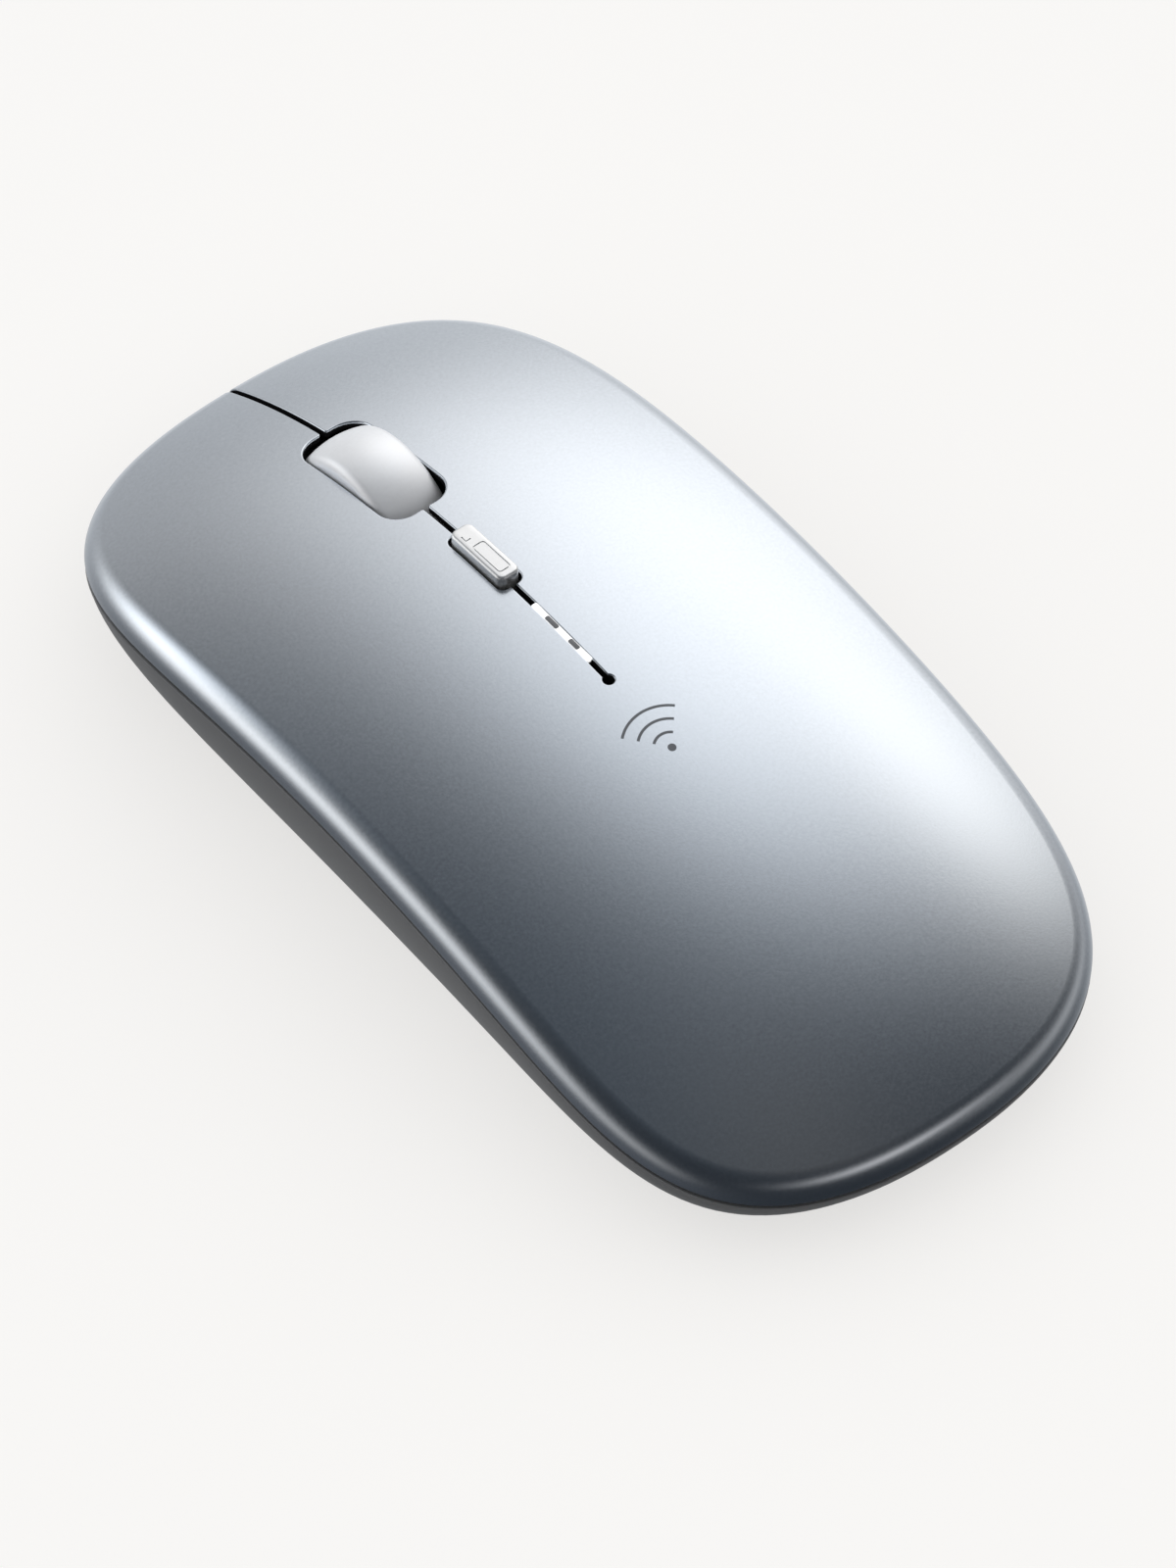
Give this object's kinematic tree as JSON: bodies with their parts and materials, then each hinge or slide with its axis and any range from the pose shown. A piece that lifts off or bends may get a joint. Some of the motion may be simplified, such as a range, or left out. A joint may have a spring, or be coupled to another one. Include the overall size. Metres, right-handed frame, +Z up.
{
  "type": "wireless computer mouse",
  "caption": "Slim low arched wireless computer mouse with two keys, a scroll wheel, a centre button, a row of status lights, a charge socket and a stowed receiver.",
  "frame": {"origin": "on the desk surface that the two glide feet rest on, under the middle of the mouse", "axes": "+Y to the front, where the keys are; +X to the right of a person using it; +Z up"},
  "size_m": [0.0566, 0.112, 0.0251],
  "materials": {
    "silver_paint": "satin metallic paint over plastic",
    "case_paint": "satin dark metallic paint over plastic",
    "wheel_gloss": "smooth glossy",
    "white_plastic": "smooth",
    "dark_plastic": "fine matt",
    "black_plastic": "fine matt",
    "glide_plastic": "smooth waxy",
    "clear_plastic": "polished clear plastic",
    "board": "solder mask over laminate",
    "chip": "fine matt",
    "steel": "plated",
    "label_film": "satin film, blank",
    "foil": "satin pouch foil",
    "foam": "open foam",
    "red_wire": "smooth insulation",
    "black_wire": "smooth insulation",
    "amber": "smooth",
    "led_white": "lit, white",
    "led_red": "clear tinted"
  },
  "bodies": {
    "shell": {"palm_cover": "silver_paint", "bottom_case": "case_paint", "front_foot": "glide_plastic", "rear_foot": "glide_plastic", "underside_label": "label_film", "main_pcb": "board", "sensor_chip": "chip", "sensor_lens": "clear_plastic", "tracking_led": "led_red", "mcu_chip": "chip", "clock_crystal": "steel", "charge_controller": "chip", "buffer_capacitor": "black_plastic", "battery_connector": "white_plastic", "left_switch": "black_plastic", "right_switch": "black_plastic", "middle_switch": "black_plastic", "ir_emitter": "clear_plastic", "ir_detector": "chip", "charge_socket": "steel", "charge_socket_tongue": "black_plastic", "power_switch": "steel", "inner_frame": "dark_plastic", "upper_pcb": "board", "dpi_switch": "black_plastic", "status_led_1": "led_white", "status_led_2": "led_white", "status_led_3": "led_white", "light_guide": "clear_plastic", "light_mask": "dark_plastic", "board_ribbon": "amber", "carrier_spring": "steel", "battery_pad": "foam", "battery_cell": "foil", "battery_lead_red": "red_wire", "battery_lead_black": "black_wire", "case_screw_1": "steel", "case_screw_2": "steel", "case_screw_3": "steel", "case_screw_4": "steel", "frame_screw_1": "steel", "frame_screw_2": "steel"},
    "left_key": {"left_key": "silver_paint"},
    "right_key": {"right_key": "silver_paint"},
    "left_plunger": {"left_plunger": "white_plastic"},
    "right_plunger": {"right_plunger": "white_plastic"},
    "middle_plunger": {"middle_plunger": "amber"},
    "dpi_button": {"dpi_button": "white_plastic", "dpi_plunger": "amber"},
    "wheel_carrier": {"wheel_carrier": "dark_plastic", "detent_spring": "steel"},
    "wheel": {"wheel_tyre": "wheel_gloss", "wheel_hub": "white_plastic", "wheel_axle": "steel"},
    "power_knob": {"power_knob": "dark_plastic"},
    "receiver": {"receiver_cap": "black_plastic", "receiver_shell": "steel", "receiver_tongue": "black_plastic"}
  },
  "joints": [
    {"name": "left_click", "type": "hinge", "parent": "shell", "child": "left_key", "pos_m": [-0.014, -0.00395, 0.022], "axis": [-1, 0, 0], "range_deg": [0, 0.4], "stiffness_Nm_per_rad": 1.5, "springref_deg": -0.46},
    {"name": "right_click", "type": "hinge", "parent": "shell", "child": "right_key", "pos_m": [0.014, -0.00395, 0.022], "axis": [-1, 0, 0], "range_deg": [0, 0.4], "stiffness_Nm_per_rad": 1.5, "springref_deg": -0.46},
    {"name": "left_plunger_slide", "type": "slide", "parent": "shell", "child": "left_plunger", "axis": [0, 0, -1], "range_m": [0, 0.0003]},
    {"name": "right_plunger_slide", "type": "slide", "parent": "shell", "child": "right_plunger", "axis": [0, 0, -1], "range_m": [0, 0.0003]},
    {"name": "wheel_press", "type": "hinge", "parent": "shell", "child": "wheel_carrier", "pos_m": [0, 0.0435, 0.0104], "axis": [1, 0, 0], "range_deg": [0, 1.2], "stiffness_Nm_per_rad": 0.3, "springref_deg": -1.15, "deforming": ["carrier_spring"]},
    {"name": "middle_plunger_slide", "type": "slide", "parent": "shell", "child": "middle_plunger", "axis": [0, 0, -1], "range_m": [0, 0.0005]},
    {"name": "wheel_spin", "type": "hinge", "parent": "wheel_carrier", "child": "wheel", "pos_m": [0, 0.031, 0.0138], "axis": [-1, 0, 0], "continuous": true},
    {"name": "dpi_press", "type": "slide", "parent": "shell", "child": "dpi_button", "axis": [0, 0, -1], "range_m": [0, 0.0004], "stiffness_N_per_m": 400, "springref_m": -0.001},
    {"name": "power_slide", "type": "slide", "parent": "shell", "child": "power_knob", "axis": [0, 1, 0], "range_m": [0, 0.002]},
    {"name": "receiver_slide", "type": "slide", "parent": "shell", "child": "receiver", "axis": [0, 0, -1], "range_m": [0, 0.008]}
  ],
  "couplings": [
    {"joint": "left_plunger_slide", "follows": "left_click", "m_per_rad": 0.03955},
    {"joint": "right_plunger_slide", "follows": "right_click", "m_per_rad": 0.03955},
    {"joint": "middle_plunger_slide", "follows": "wheel_press", "m_per_rad": 0.0227}
  ]
}
